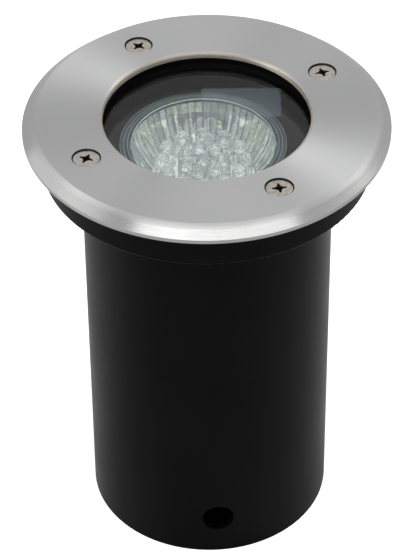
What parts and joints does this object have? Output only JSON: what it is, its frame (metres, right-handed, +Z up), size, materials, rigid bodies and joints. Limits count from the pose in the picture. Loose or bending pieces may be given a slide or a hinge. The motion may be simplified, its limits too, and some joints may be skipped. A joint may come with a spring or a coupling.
{
  "type": "in-ground well light",
  "caption": "Round in-ground well light: brushed steel ring over a sealed lamp unit that lifts out of a black ground sleeve, with a twist-lock reflector lamp.",
  "frame": {"origin": "centre of the ground sleeve's bottom rim, on the light's axis", "axes": "+Z up along the light's axis; -Y towards the side with the cable hole; +X to the right seen from that side"},
  "size_m": [0.11, 0.11, 0.147],
  "materials": {
    "stainless": "circular brushed",
    "screw_steel": "plain",
    "black_plastic": "satin moulded",
    "black_casting": "matt paint",
    "front_glass": "clear toughened",
    "black_rubber": "matt",
    "gland_plastic": "fine moulded",
    "reflector_glass": "faceted, silvered inside",
    "cover_glass": "clear",
    "white_board": "white solder mask",
    "clear_resin": "water clear",
    "white_moulding": "moulded",
    "nickel_pin": "plated",
    "green_board": "solder mask",
    "capacitor_case": "dipped",
    "cream_ceramic": "unglazed",
    "contact_brass": "plain",
    "zinc_steel": "zinc plated",
    "natural_nylon": "moulded",
    "white_silicone": "silicone sleeve",
    "green_lead": "plain insulation"
  },
  "bodies": {
    "sleeve": {"mounting_sleeve": "black_plastic"},
    "lamp_unit": {"lamp_housing": "black_casting", "front_ring": "stainless", "ring_screws": "screw_steel", "front_glass": "front_glass", "glass_gasket": "black_rubber", "socket_bracket": "zinc_steel", "bracket_screws": "zinc_steel", "lamp_socket": "cream_ceramic", "socket_contacts": "contact_brass", "socket_screws": "zinc_steel", "socket_leads": "white_silicone", "terminal_block": "natural_nylon", "terminal_screws": "zinc_steel", "earth_lead": "green_lead", "earth_tag": "contact_brass", "earth_screw": "contact_brass", "gland_body": "gland_plastic", "gland_locknut": "gland_plastic", "gland_cap": "gland_plastic", "gland_seal": "black_rubber"},
    "lamp": {"lamp_reflector": "reflector_glass", "lamp_cover_glass": "cover_glass", "led_board": "white_board", "leds": "clear_resin", "lamp_base": "white_moulding", "lamp_pins": "nickel_pin", "driver_board": "green_board", "driver_capacitor": "capacitor_case"}
  },
  "joints": [
    {"name": "unit_lift", "type": "slide", "parent": "sleeve", "child": "lamp_unit", "axis": [0, 0, 1], "range_m": [0, 0.13]},
    {"name": "lamp_twist", "type": "hinge", "parent": "lamp_unit", "child": "lamp", "pos_m": [-0.0011, 0, 0.1], "axis": [0, 0, 1], "range_deg": [0, 25]}
  ]
}
